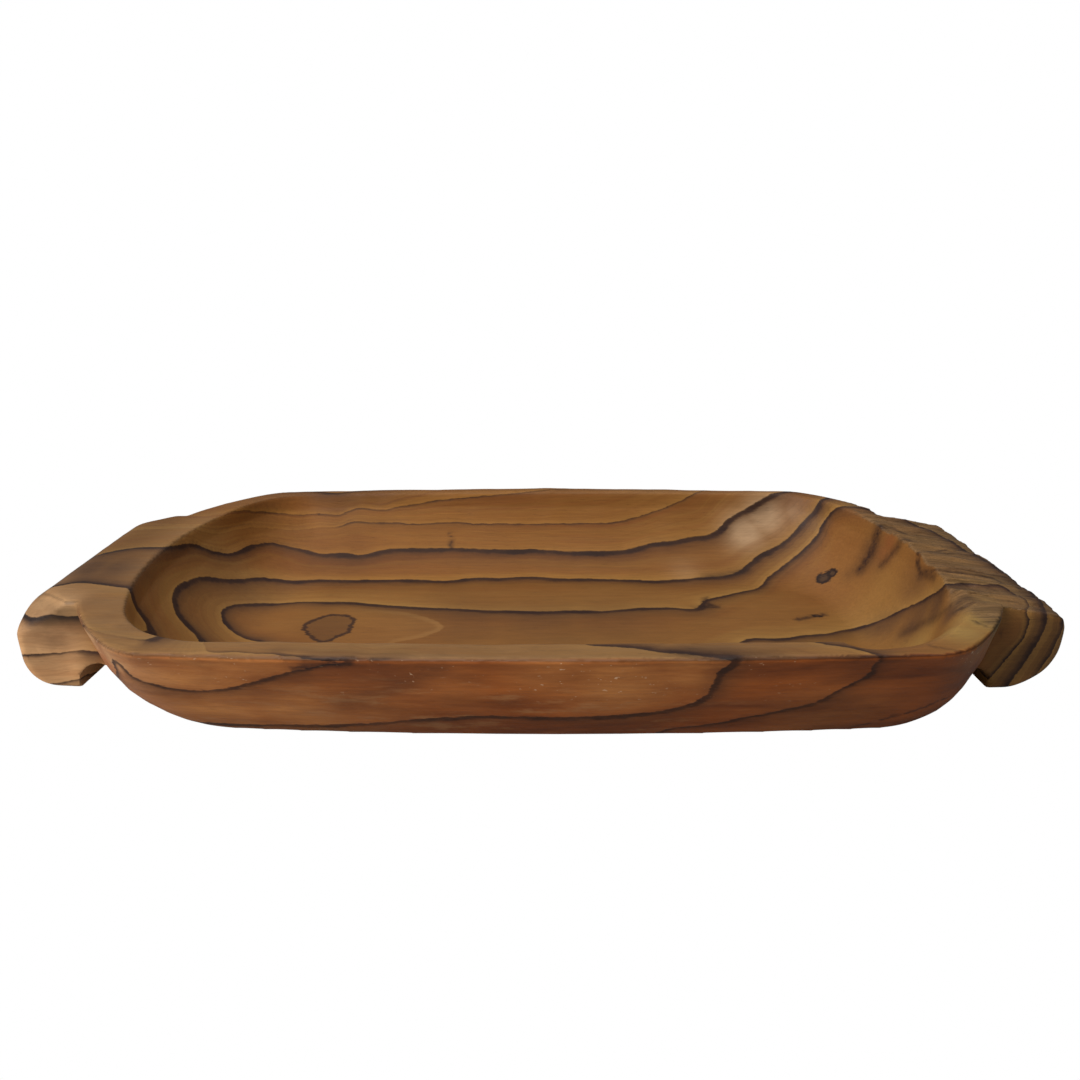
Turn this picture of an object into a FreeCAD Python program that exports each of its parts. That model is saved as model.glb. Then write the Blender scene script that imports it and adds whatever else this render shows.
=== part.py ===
"""Hand-carved wooden serving tray: one block with a hollow and a rolled handle at each end.

Millimetres. The tray stands on its flat foot at Z = 0 and +Z is up. X runs along the tray, from
the smooth handle at -X to the rough-hewn one at +X. The origin is under the middle of the tray.
"""

import FreeCAD, Part

import math
import os

import Sketcher

doc = FreeCAD.newDocument("serving_tray")

# Driving sizes in millimetres: name, value, what it is
SIZES = (
    ("tray_height", 57, "rim plane above the table"),
    ("rim_length", 467, "bowl over its two bowed ends, at the rim and as if it had no handles"),
    ("rim_width", 240, "over the two bowed long sides at the rim"),
    ("rim_end_bow", 20, "plan radius of each end at the rim, more than half the width"),
    ("rim_side_bow", 2800, "plan radius of each long side at the rim"),
    ("rim_corner", 34, "plan radius of the four outer corners at the rim"),
    ("foot_length", 390, "flat foot along X"),
    ("foot_width", 176, "flat foot along Y"),
    ("foot_end_bow", 48, "plan radius of each end of the foot, more than half the width"),
    ("foot_side_bow", 2200, "plan radius of each long side of the foot"),
    ("foot_corner", 37, "plan radius of the corners of the foot"),
    ("foot_shift", 8, "foot's middle past the rim's middle, toward the rough handle"),
    ("near_wall", 15, "width of the rim along the -Y side"),
    ("far_wall", 9, "width of the rim along the +Y side"),
    ("end_wall", 27, "wood between the hollow and the bowl's bowed end at the rim"),
    ("hollow_end_bow", 79, "plan radius of each end of the hollow at the rim, more than half the width"),
    ("hollow_side_bow", 4200, "plan radius of each long side of the hollow at the rim"),
    ("near_corner", 56, "plan radius of the hollow's two corners on the -Y side"),
    ("far_corner", 44, "plan radius of the hollow's two corners on the +Y side"),
    ("floor_thickness", 12, "wood under the middle of the hollow"),
    ("floor_end_inset", 30, "level floor of the hollow, short of each end of the foot"),
    ("floor_side_inset", 26, "level floor of the hollow, short of each side of the foot"),
    ("floor_end_bow", 48, "plan radius of each end of the level floor, more than half the width"),
    ("floor_side_bow", 1500, "plan radius of each long side of the level floor"),
    ("floor_corner", 36, "plan radius of the corners of the level floor"),
    ("handle_reach", 18, "how far each handle stands out past the bowl's bowed end"),
    ("handle_width", 128, "each handle along Y"),
    ("handle_edge", 1.6, "bevel round the handles' end faces"),
    ("nose_top_roll", 17, "rounding of the nose above its upright face"),
    ("smooth_nose_face", 14, "upright face of the smooth handle's nose"),
    ("rough_nose_face", 5, "upright face of the rough handle's nose"),
    ("bevel_length", 30, "bevelled corners of the smooth handle, along X"),
    ("bevel_width", 21, "bevelled corners of the smooth handle, along Y at the nose"),
    ("bevel_depth", 18, "bevelled corners of the smooth handle, down from the top"),
    ("lip_clearance", 10, "underside of each handle above the table"),
    ("smooth_groove_radius", 10.5, "round finger groove under the smooth handle"),
    ("smooth_groove_inset", 37.5, "middle of the smooth handle's groove, in from the nose"),
    ("rough_groove_radius", 9, "round finger groove under the rough handle"),
    ("rough_groove_inset", 41.5, "middle of the rough handle's groove, in from the nose"),
    ("groove_rise", 3, "middle of the grooves above the underside of the handles"),
    ("rim_edge", 1.2, "rounding of the edges of the rim"),
    ("hewn_start", 35, "rough-hewn top begins this far in from the bowl's bowed end"),
    ("hewn_lead", 1.2, "hewn face above the rim plane where it begins"),
    ("hewn_fall", 7, "hewn face below the rim plane at the nose"),
    ("hewn_past_near", 2, "hewn face runs on past the handle's -Y end"),
    ("hewn_past_far", 28, "hewn face runs on past the handle's +Y end, over the bowl's corner"),
    ("gouge_radius", 21, "hollow of the gouge that dressed the rough handle"),
)

# Shares of the wall's height at which its outlines are drawn, from the foot to the rim
WALL_LEVELS = (0, 0.03, 0.09, 0.18, 0.3, 0.45, 0.65, 1)
HOLLOW_LEVELS = (0, 0.01, 0.035, 0.075, 0.13, 0.2, 0.3, 0.43, 0.6, 0.8, 1)

# How full the walls swell: 1 is a straight slope, 2 a quarter ellipse
WALL_END_SWELL = 1.65
WALL_SIDE_SWELL = 1.1
HOLLOW_END_SWELL = 1.7
HOLLOW_SIDE_SWELL = 1.5

# Cuts that run on past the wood, as shares of the handle's width and of the bevel's length
GROOVE_RUN = 1.02
BEVEL_RUN = 0.5

# Widths of the gouge cuts from the -Y side to the +Y side, as shares of the hewn face
RIDGE_CUTS = (0.09, 0.12, 0.08, 0.13, 0.10, 0.08, 0.12, 0.09, 0.11, 0.08)
NOSE_CUTS = (0.11, 0.09, 0.12, 0.10, 0.08, 0.12, 0.09, 0.11, 0.08, 0.10)

sheet = doc.addObject("Spreadsheet::Sheet", "sizes")
for row, (name, value, note) in enumerate(SIZES, start=1):
    sheet.set(f"A{row}", name)
    sheet.set(f"B{row}", str(value))
    sheet.set(f"C{row}", note)
    sheet.setAlias(f"B{row}", name)
doc.recompute()


class Size:
    """A length with the formula that gives it from the cells of the sheet."""

    def __init__(self, value, formula):
        self.value = float(value)
        self.formula = formula

    def __add__(self, other):
        other = as_size(other)
        return Size(self.value + other.value, f"({self.formula} + {other.formula})")

    def __sub__(self, other):
        other = as_size(other)
        return Size(self.value - other.value, f"({self.formula} - {other.formula})")

    def __mul__(self, factor):
        return Size(self.value * factor, f"({self.formula} * {factor:.6f})")

    def toward(self, other, share):
        """The length that lies a share of the way from this one to another."""
        return self + (other - self) * share


def as_size(value):
    return value if isinstance(value, Size) else Size(value, str(value))


def cell(name):
    return Size(sheet.get(name), f"sizes.{name}")


def plane_of(body, role):
    return next(item for item in body.Origin.OriginFeatures if item.Role == role)


def new_sketch(body, name, role, lift=None, shift=None, aside=None):
    """A sketch on one of the body's own planes, lifted along its normal and shifted within it."""
    sketch = body.newObject("Sketcher::SketchObject", name)
    sketch.AttachmentSupport = [(plane_of(body, role), "")]
    sketch.MapMode = "FlatFace"
    for axis, size in (("z", lift), ("x", shift), ("y", aside)):
        if size is not None:
            sketch.setExpression(f"AttachmentOffset.Base.{axis}", size.formula)
    return sketch


def bind(sketch, kind, *where, size):
    """Adds a dimension to a sketch and ties it to its formula."""
    index = sketch.addConstraint(Sketcher.Constraint(kind, *where, size.value))
    sketch.setExpression(f"Constraints[{index}]", size.formula)


NOTHING = as_size(0)


# Bowed oblong: two bowed sides, two bowed ends and four corner arcs, all tangent

def corner_centre(length, width, end_bow, side_bow, corner):
    """Centre of the corner arc in the +X +Y quarter, from where two circles cross."""
    end = (length / 2 - end_bow, 0)
    side = (0, width / 2 - side_bow)
    to_end, to_side = end_bow - corner, side_bow - corner
    gap = math.hypot(side[0] - end[0], side[1] - end[1])
    along = (to_end ** 2 - to_side ** 2 + gap ** 2) / (2 * gap)
    off = math.sqrt(to_end ** 2 - along ** 2)
    ux, uy = (side[0] - end[0]) / gap, (side[1] - end[1]) / gap
    return end[0] + along * ux - off * uy, end[1] + along * uy + off * ux


class Oblong:
    """The sizes of one bowed oblong, its height above the table and its shift along X and Y.

    The plan radius of its ends is half its width and what end_over adds.
    """

    def __init__(self, height, shift, aside, length, width, end_over, side_bow, near_corner, far_corner):
        self.height, self.shift, self.aside = height, shift, aside
        self.length, self.width = length, width
        self.end_over, self.side_bow = end_over, side_bow
        self.end_bow = width * 0.5 + end_over
        self.near_corner, self.far_corner = near_corner, far_corner

    def grown(self, size, height):
        """The same outline at another height, moved outwards all round by a size."""
        twice = size * 2
        return Oblong(height, self.shift, self.aside, self.length + twice, self.width + twice, self.end_over,
                      self.side_bow + size, self.near_corner + size, self.far_corner + size)

    def toward(self, other, level, end_share, side_share):
        return Oblong(
            self.height.toward(other.height, level),
            self.shift.toward(other.shift, end_share),
            self.aside.toward(other.aside, side_share),
            self.length.toward(other.length, end_share),
            self.width.toward(other.width, side_share),
            self.end_over.toward(other.end_over, end_share),
            self.side_bow.toward(other.side_bow, side_share),
            self.near_corner.toward(other.near_corner, end_share),
            self.far_corner.toward(other.far_corner, end_share),
        )

    def arcs(self):
        """Eight arcs, anticlockwise from the +X end: centre, radius, first and last angle."""
        length, width = self.length.value, self.width.value
        end, side = self.end_bow.value, self.side_bow.value
        out = length / 2 - end
        drop = width / 2 - side
        turns = {}
        for name, corner in (("far", self.far_corner.value), ("near", self.near_corner.value)):
            x, y = corner_centre(length, width, end, side, corner)
            turns[name] = (x, y, corner, math.atan2(y, x - out), math.atan2(y - drop, x))
        fx, fy, far, f_end, f_side = turns["far"]
        nx, ny, near, n_end, n_side = turns["near"]
        half = math.pi
        return (
            ((out, 0), end, -n_end, f_end),
            ((fx, fy), far, f_end, f_side),
            ((0, drop), side, f_side, half - f_side),
            ((-fx, fy), far, half - f_side, half - f_end),
            ((-out, 0), end, half - f_end, half + n_end),
            ((-nx, -ny), near, half + n_end, half + n_side),
            ((0, -drop), side, half + n_side, 2 * half - n_side),
            ((nx, -ny), near, 2 * half - n_side, 2 * half - n_end),
        )

    def sketch(self, body, name):
        sketch = new_sketch(body, name, "XY_Plane", self.height, self.shift, self.aside)
        for (x, y), radius, first, last in self.arcs():
            circle = Part.Circle(FreeCAD.Vector(x, y, 0), FreeCAD.Vector(0, 0, 1), radius)
            sketch.addGeometry(Part.ArcOfCircle(circle, first, last), False)
        for index in range(8):
            sketch.addConstraint(Sketcher.Constraint("Tangent", index, 2, (index + 1) % 8, 1))
        for side in (2, 6):
            sketch.addConstraint(Sketcher.Constraint("PointOnObject", side, 3, -2))
        for end in (0, 4):
            sketch.addConstraint(Sketcher.Constraint("PointOnObject", end, 3, -1))
        bind(sketch, "DistanceX", -1, 1, 0, 3, size=self.length * 0.5 - self.end_bow)
        bind(sketch, "DistanceX", 4, 3, -1, 1, size=self.length * 0.5 - self.end_bow)
        bind(sketch, "DistanceY", 2, 3, -1, 1, size=self.side_bow - self.width * 0.5)
        bind(sketch, "DistanceY", -1, 1, 6, 3, size=self.side_bow - self.width * 0.5)
        radii = (self.end_bow, self.far_corner, self.side_bow, self.far_corner,
                 self.end_bow, self.near_corner, self.side_bow, self.near_corner)
        for index, radius in enumerate(radii):
            bind(sketch, "Radius", index, size=radius)
        return sketch


def swell(level, power):
    """How far out a wall is, from 0 to 1, at a share of its height."""
    return (1 - (1 - level) ** power) ** (1 / power)


def loft(body, kind, name, rings):
    """A loft in straight bands through bowed oblongs, from the first to the last."""
    sketches = [ring.sketch(body, f"{name}_{index}") for index, ring in enumerate(rings)]
    feature = body.newObject(kind, name)
    feature.Profile = sketches[0]
    feature.Sections = sketches[1:]
    feature.Ruled = True


def swollen(low, high, levels, end_power, side_power):
    """Bowed oblongs that swell from the low one to the high one."""
    return [low.toward(high, level, swell(level, end_power), swell(level, side_power)) for level in levels]


tray = doc.addObject("PartDesign::Body", "tray")
tray.Label = "tray"

# The block from nose to nose: a bar with rolled ends, whose middle the bowl takes up

nose_x = cell("rim_length") * 0.5 + cell("handle_reach")


def bar_section(body):
    """Flat top and underside, and at each end a nose with two rolls and an upright face."""
    sketch = new_sketch(body, "bar_section", "XZ_Plane")
    top, low, nose, upper = (size.value for size in (cell("tray_height"), cell("lip_clearance"),
                                                     nose_x, cell("nose_top_roll")))
    rough, smooth = low_roll("rough_nose_face"), low_roll("smooth_nose_face")

    def point(x, z):
        return FreeCAD.Vector(x, z, 0)

    def quarter(x, z, radius, turn):
        circle = Part.Circle(point(x, z), FreeCAD.Vector(0, 0, 1), radius)
        return Part.ArcOfCircle(circle, math.radians(turn), math.radians(turn + 90))

    right, left = rough.value, smooth.value
    sketch.addGeometry([
        Part.LineSegment(point(left - nose, low), point(nose - right, low)),
        quarter(nose - right, low + right, right, 270),
        Part.LineSegment(point(nose, low + right), point(nose, top - upper)),
        quarter(nose - upper, top - upper, upper, 0),
        Part.LineSegment(point(nose - upper, top), point(upper - nose, top)),
        quarter(upper - nose, top - upper, upper, 90),
        Part.LineSegment(point(-nose, top - upper), point(-nose, low + left)),
        quarter(left - nose, low + left, left, 180),
    ], False)
    for index in range(8):
        sketch.addConstraint(Sketcher.Constraint("Tangent", index, 2, (index + 1) % 8, 1))
    for index in (0, 4):
        sketch.addConstraint(Sketcher.Constraint("Horizontal", index))
    for index in (2, 6):
        sketch.addConstraint(Sketcher.Constraint("Vertical", index))
    for index, radius in ((1, rough), (3, cell("nose_top_roll")), (5, cell("nose_top_roll")), (7, smooth)):
        bind(sketch, "Radius", index, size=radius)
    bind(sketch, "DistanceX", -1, 1, 2, 1, size=nose_x)
    bind(sketch, "DistanceX", 6, 1, -1, 1, size=nose_x)
    bind(sketch, "DistanceY", -1, 1, 0, 1, size=cell("lip_clearance"))
    bind(sketch, "DistanceY", -1, 1, 4, 1, size=cell("tray_height"))
    return sketch


def low_roll(face):
    """What the nose's upright face and its top roll leave for the roll underneath."""
    return cell("tray_height") - cell("lip_clearance") - cell("nose_top_roll") - cell(face)


def bar(body):
    pad = body.newObject("PartDesign::Pad", "bar")
    pad.Profile = bar_section(body)
    pad.Midplane = True
    pad.setExpression("Length", cell("handle_width").formula)


def ease_edges(body, name, picked, size):
    """Bevels the edges of the body so far that a rule picks."""
    doc.recompute()
    base = body.Tip
    edges = [f"Edge{index}" for index, edge in enumerate(base.Shape.Edges, start=1) if picked(edge)]
    chamfer = body.newObject("PartDesign::Chamfer", name)
    chamfer.Base = (base, edges)
    chamfer.setExpression("Size", size.formula)


def on_plane(low, high, value):
    return abs(low - value) < 0.01 and abs(high - value) < 0.01


def at_bar_end(edge):
    """An edge round one of the bar's two end faces."""
    box = edge.BoundBox
    half = cell("handle_width").value / 2
    return on_plane(box.YMin, box.YMax, half) or on_plane(box.YMin, box.YMax, -half)


def finger_grooves(body):
    """Round grooves along Y, between each handle's lip and the bowl's end wall."""
    sketch = new_sketch(body, "groove_sections", "XZ_Plane")
    z = cell("lip_clearance") + cell("groove_rise")
    for index, (handle, sign) in enumerate((("rough", 1), ("smooth", -1))):
        radius = cell(f"{handle}_groove_radius")
        x = nose_x - cell(f"{handle}_groove_inset")
        centre = FreeCAD.Vector(sign * x.value, z.value, 0)
        sketch.addGeometry(Part.Circle(centre, FreeCAD.Vector(0, 0, 1), radius.value), False)
        ends = (-1, 1, index, 3) if sign > 0 else (index, 3, -1, 1)
        bind(sketch, "Radius", index, size=radius)
        bind(sketch, "DistanceX", *ends, size=x)
        bind(sketch, "DistanceY", -1, 1, index, 3, size=z)
    pocket = body.newObject("PartDesign::Pocket", "finger_grooves")
    pocket.Profile = sketch
    pocket.Midplane = True
    pocket.setExpression("Length", (cell("handle_width") * GROOVE_RUN).formula)


def bevel_outline(body, name, sign, lift, out):
    """A slanting line across a corner of the smooth handle, closed outside the wood."""
    sketch = new_sketch(body, name, "XY_Plane", lift)
    side = cell("handle_width") * 0.5 + out
    outside = side + cell("bevel_width")
    inner_x = nose_x - cell("bevel_length")
    outer_x = nose_x + cell("bevel_length") * BEVEL_RUN
    nose_y = side - cell("bevel_width") * (1 + BEVEL_RUN)
    corners = ((inner_x, side), (outer_x, nose_y), (outer_x, outside), (inner_x, outside))
    points = [FreeCAD.Vector(-x.value, sign * y.value, 0) for x, y in corners]
    for index, (x, y) in enumerate(corners):
        sketch.addGeometry(Part.LineSegment(points[index], points[(index + 1) % 4]), False)
        ends = (-1, 1, index, 1) if sign > 0 else (index, 1, -1, 1)
        bind(sketch, "DistanceX", index, 1, -1, 1, size=x)
        bind(sketch, "DistanceY", *ends, size=y)
    for index in range(4):
        sketch.addConstraint(Sketcher.Constraint("Coincident", index, 2, (index + 1) % 4, 1))
    return sketch


def bevelled_corner(body, name, sign):
    """A leaning flat that takes a top corner off the smooth handle."""
    top, depth = cell("tray_height"), cell("bevel_depth")
    cut = body.newObject("PartDesign::SubtractiveLoft", name)
    cut.Profile = bevel_outline(body, f"{name}_above", sign, top, NOTHING)
    cut.Sections = [bevel_outline(body, f"{name}_below", sign, top - depth, cell("bevel_width"))]
    cut.Ruled = True


bar(tray)
ease_edges(tray, "bar_ends", at_bar_end, cell("handle_edge"))
bevelled_corner(tray, "near_bevel", -1)
bevelled_corner(tray, "far_bevel", 1)

# The bowl's outside, swelling from the foot to the rim

foot = Oblong(
    NOTHING, cell("foot_shift"), NOTHING, cell("foot_length"), cell("foot_width"), cell("foot_end_bow"),
    cell("foot_side_bow"), cell("foot_corner"), cell("foot_corner"))
rim = Oblong(
    cell("tray_height") - cell("rim_edge"), NOTHING, NOTHING, cell("rim_length"), cell("rim_width"),
    cell("rim_end_bow"), cell("rim_side_bow"), cell("rim_corner"), cell("rim_corner"))
loft(tray, "PartDesign::AdditiveLoft", "bowl",
     swollen(foot, rim, WALL_LEVELS, WALL_END_SWELL, WALL_SIDE_SWELL))
loft(tray, "PartDesign::AdditiveLoft", "outer_rim_edge",
     [rim, rim.grown(cell("rim_edge") * -1, cell("tray_height"))])
finger_grooves(tray)

# The hollow, swelling from its level floor to the mouth

level_floor = Oblong(
    cell("floor_thickness"), cell("foot_shift"), NOTHING,
    cell("foot_length") - cell("floor_end_inset") * 2,
    cell("foot_width") - cell("floor_side_inset") * 2,
    cell("floor_end_bow"), cell("floor_side_bow"), cell("floor_corner"), cell("floor_corner"))
mouth = Oblong(
    cell("tray_height") - cell("rim_edge"), NOTHING, (cell("near_wall") - cell("far_wall")) * 0.5,
    cell("rim_length") - cell("end_wall") * 2,
    cell("rim_width") - cell("near_wall") - cell("far_wall"),
    cell("hollow_end_bow"), cell("hollow_side_bow"), cell("near_corner"), cell("far_corner"))
loft(tray, "PartDesign::SubtractiveLoft", "hollow",
     swollen(level_floor, mouth, HOLLOW_LEVELS, HOLLOW_END_SWELL, HOLLOW_SIDE_SWELL))
loft(tray, "PartDesign::SubtractiveLoft", "inner_rim_edge",
     [mouth, mouth.grown(cell("rim_edge"), cell("tray_height"))])

# The rough handle's hewn top: shallow gouge cuts side by side, falling to the nose


def gouge_row(body, name, reach, base, cuts):
    """Arcs of one gouge side by side across the handle, closed above the wood."""
    sketch = new_sketch(body, name, "YZ_Plane", reach)
    half_handle = cell("handle_width") * 0.5
    near, far = half_handle + cell("hewn_past_near"), half_handle + cell("hewn_past_far")
    width, radius = near + far, cell("gouge_radius")
    y = -near.value
    arcs = []
    for share in cuts:
        half = width.value * share / 2
        rise = math.sqrt(radius.value ** 2 - half ** 2)
        circle = Part.Circle(FreeCAD.Vector(y + half, base.value + rise, 0), FreeCAD.Vector(0, 0, 1), radius.value)
        lean = math.atan2(rise, half)
        arcs.append(Part.ArcOfCircle(circle, math.pi + lean, 2 * math.pi - lean))
        y += 2 * half
    top = base + radius
    corners = [FreeCAD.Vector(x, z, 0) for x, z in
               ((far.value, base.value), (far.value, top.value), (-near.value, top.value), (-near.value, base.value))]
    lines = [Part.LineSegment(one, two) for one, two in zip(corners, corners[1:])]
    sketch.addGeometry(arcs + lines, False)
    count = len(arcs)
    for index in range(count + 3):
        sketch.addConstraint(Sketcher.Constraint("Coincident", index, 2, (index + 1) % (count + 3), 1))
    for index, share in enumerate(cuts):
        bind(sketch, "Radius", index, size=radius)
        bind(sketch, "DistanceX", index, 1, index, 2, size=width * share)
        bind(sketch, "DistanceY", -1, 1, index, 1, size=base)
    bind(sketch, "DistanceX", 0, 1, -1, 1, size=near)
    bind(sketch, "DistanceY", -1, 1, count, 1, size=base)
    sketch.addConstraint(Sketcher.Constraint("Vertical", count))
    sketch.addConstraint(Sketcher.Constraint("Horizontal", count + 1))
    sketch.addConstraint(Sketcher.Constraint("Vertical", count + 2))
    bind(sketch, "DistanceY", -1, 1, count, 2, size=top)
    return sketch


ridge_x = cell("rim_length") * 0.5 - cell("hewn_start")
hewn_top = tray.newObject("PartDesign::SubtractiveLoft", "hewn_top")
hewn_top.Profile = gouge_row(
    tray, "gouges_at_ridge", ridge_x, cell("tray_height") + cell("hewn_lead"), RIDGE_CUTS)
hewn_top.Sections = [gouge_row(
    tray, "gouges_at_nose", nose_x, cell("tray_height") - cell("hewn_fall"), NOSE_CUTS)]
hewn_top.Ruled = True
doc.recompute()


# Checks, then the file

for item in doc.Objects:
    if "Invalid" in item.State or "Error" in item.State:
        raise RuntimeError(f"{item.Name} did not build: {item.State}")
    if item.isDerivedFrom("Sketcher::SketchObject") and not item.FullyConstrained:
        raise RuntimeError(f"{item.Name} is not fully constrained")

volume = 0
for step in tray.Group:
    if not step.isDerivedFrom("PartDesign::Feature"):
        continue
    if step.Shape.isNull() or not step.Shape.isValid():
        raise RuntimeError(f"{step.Name} has no sound shape")
    adds = step.isDerivedFrom("PartDesign::Pad") or step.isDerivedFrom("PartDesign::AdditiveLoft")
    if (step.Shape.Volume > volume) != adds:
        raise RuntimeError(f"{step.Name} works the wrong way: {volume:.0f} to {step.Shape.Volume:.0f}")
    volume = step.Shape.Volume
    print(f"{step.Name}: {volume:.0f} mm3")

if tray.Shape.isNull() or not tray.Shape.isValid() or len(tray.Shape.Solids) != 1:
    raise RuntimeError("the tray is not one sound solid")

os.makedirs("parts", exist_ok=True)
tray.Shape.exportStep("parts/tray.step")
box = tray.Shape.optimalBoundingBox()
print(f"tray: {box.XLength:.1f} x {box.YLength:.1f} x {box.ZLength:.1f} mm")
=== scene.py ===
# %% [markdown]
# # A hand-carved wooden tray
#
# One block of strongly figured wood, hollowed out by hand. It has a smooth rolled handle at -X
# and a handle with a rough-hewn top at +X. All lengths are metres unless a name ends in mm.
#
# The first step loads the imported part.

import math

import bmesh
import bpy
import numpy as np
from mathutils import Matrix, Vector
from mathutils.bvhtree import BVHTree


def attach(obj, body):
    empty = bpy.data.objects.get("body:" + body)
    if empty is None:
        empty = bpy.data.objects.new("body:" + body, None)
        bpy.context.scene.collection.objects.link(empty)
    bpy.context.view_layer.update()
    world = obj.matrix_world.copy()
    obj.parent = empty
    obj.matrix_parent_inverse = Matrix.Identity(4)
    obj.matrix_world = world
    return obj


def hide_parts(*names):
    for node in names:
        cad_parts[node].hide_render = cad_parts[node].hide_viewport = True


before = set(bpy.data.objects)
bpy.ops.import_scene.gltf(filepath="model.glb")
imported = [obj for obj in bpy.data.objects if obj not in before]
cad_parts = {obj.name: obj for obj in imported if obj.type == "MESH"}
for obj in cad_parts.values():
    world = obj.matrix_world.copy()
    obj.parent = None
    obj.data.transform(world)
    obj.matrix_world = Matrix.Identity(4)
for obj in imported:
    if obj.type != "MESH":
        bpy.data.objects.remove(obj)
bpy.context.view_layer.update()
cad_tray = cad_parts["tray"]

# %% [markdown]
# The camera comes first, because the growth lines are traced as it sees them. It stands in front
# of the tray and looks down by twenty degrees.

# %% Camera
PICTURE = 1080
FOCAL_PX = 811
CAMERA_AT = Vector((0, -0.4106, 0.217))
LOOK_DOWN = math.radians(20.43)

scene = bpy.context.scene
camera_data = bpy.data.cameras.new("camera")
camera = bpy.data.objects.new("camera", camera_data)
scene.collection.objects.link(camera)
camera_data.sensor_width = 36
camera_data.lens = 36 * FOCAL_PX / PICTURE
camera_data.clip_start, camera_data.clip_end = 0.01, 20
camera.location = CAMERA_AT
camera.rotation_euler = (math.pi / 2 - LOOK_DOWN, 0, 0)
scene.camera = camera
TURN = Matrix.Rotation(math.pi / 2 - LOOK_DOWN, 3, "X")
print("camera", round(camera_data.lens, 1), "mm lens")


def sight(u, v):
    """The direction in which the camera sees a point of the picture, in picture units."""
    return (TURN @ Vector((u - PICTURE / 2, PICTURE / 2 - v, -FOCAL_PX))).normalized()


# %% [markdown]
# Node trees are written as sums. A wrapped socket can be added, multiplied and compared like a
# number, and every other node is made by one method: its settings first, then its sockets.

# %% Sums that build nodes
class Wire:
    """A socket that can be used like a number."""

    def __init__(self, tree, socket):
        self.tree, self.socket = tree, socket

    def math(self, operation, *others):
        sockets = {0: self, **dict(enumerate(others, 1))}
        return make(self.tree, "ShaderNodeMath", {"operation": operation}, sockets)

    def __add__(self, other): return self.math("ADD", other)
    def __sub__(self, other): return self.math("SUBTRACT", other)
    def __mul__(self, other): return self.math("MULTIPLY", other)
    def __truediv__(self, other): return self.math("DIVIDE", other)
    def __pow__(self, other): return self.math("POWER", other)
    def __neg__(self): return self.math("MULTIPLY", -1)
    def __radd__(self, other): return self + other
    def __rmul__(self, other): return self * other
    def __rsub__(self, other): return -self + other
    def __rtruediv__(self, other): return (self ** -1) * other
    def fract(self): return self.math("FRACT")
    def exp(self): return self.math("EXPONENT")
    def absolute(self): return self.math("ABSOLUTE")
    def least(self, other): return self.math("MINIMUM", other)
    def most(self, other): return self.math("MAXIMUM", other)

    def step(self, low, high):
        """0 below low and 1 above high, or the other way round, with a soft change between."""
        if low > high:
            return 1 - self.step(high, low)
        sockets = {"Value": self, "From Min": low, "From Max": high}
        return make(self.tree, "ShaderNodeMapRange", {"interpolation_type": "SMOOTHSTEP"}, sockets)


def make(tree, kind, settings=None, sockets=None, out=0):
    """Adds a node, sets it up, fills its sockets with numbers or wires, and gives one output."""
    node = tree.nodes.new(kind)
    for name, value in (settings or {}).items():
        setattr(node, name, value)
    for key, value in (sockets or {}).items():
        if isinstance(value, Wire):
            tree.links.new(value.socket, node.inputs[key])
        else:
            node.inputs[key].default_value = value
    return Wire(tree, node.outputs[out])


def stretched(tree, place, along, across, up):
    """A place with each axis scaled on its own."""
    sockets = {0: place, 1: (along, across, up)}
    return make(tree, "ShaderNodeVectorMath", {"operation": "MULTIPLY"}, sockets)


def noise(tree, place, scale, detail=2, roughness=0.5):
    """Noise about 0, from -0.5 to 0.5."""
    sockets = {"Vector": place, "Scale": scale, "Detail": detail, "Roughness": roughness}
    return make(tree, "ShaderNodeTexNoise", {}, sockets) - 0.5


# %% [markdown]
# The block is remade from the part's facets as one even skin, fine enough to take the marks of
# the hand and the growth lines. Its edges stay crisp. Only the noses of the handles and the
# hollow's edge beside the rough handle are rubbed round, as hands and sandpaper do: those
# places are in a group of points, and only that group is smoothed.

# %% Skin of the block
SKIN = 0.0011
RUBBING = 1
MOST_TRIANGLES = 190000
NOSES_FROM_MM, NOSE_REACH_MM = 228, 12
SOFT_EDGE_MM = ((142, -99, 53), (158, -94, 51), (169, -86, 50), (180, -74, 50), (191, -57, 53))
SOFT_EDGE_REACH_MM = 9


def new_object(name, mesh):
    made = bpy.data.objects.new(name, mesh)
    scene.collection.objects.link(made)
    return made


def baked(made):
    """Puts the object's modifiers into its mesh."""
    graph = bpy.context.evaluated_depsgraph_get()
    mesh = bpy.data.meshes.new_from_object(made.evaluated_get(graph))
    made.modifiers.clear()
    made.data = mesh


def read(items, name, width):
    out = np.empty(len(items) * width, np.float32)
    items.foreach_get(name, out)
    return out.reshape(-1, width).astype(float)


def stroke_distance(points, at):
    """Distance in mm from places to a line through points."""
    best = np.full(len(at), 1e9)
    for one, two in zip(points, points[1:]):
        one, two = np.array(one), np.array(two)
        run = two - one
        share = np.clip(((at - one) @ run) / (run @ run), 0, 1)
        best = np.minimum(best, np.linalg.norm(at - one - share[:, None] * run, axis=1))
    return best


tool = bmesh.new()
tool.from_mesh(cad_tray.data)
bmesh.ops.remove_doubles(tool, verts=tool.verts, dist=1e-6)
mesh = bpy.data.meshes.new("tray_skin")
tool.to_mesh(mesh)
tool.free()
tray = new_object("tray_wood", mesh)

remesh = tray.modifiers.new("even", "REMESH")
remesh.mode = "VOXEL"
remesh.voxel_size = SKIN
baked(tray)

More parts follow.
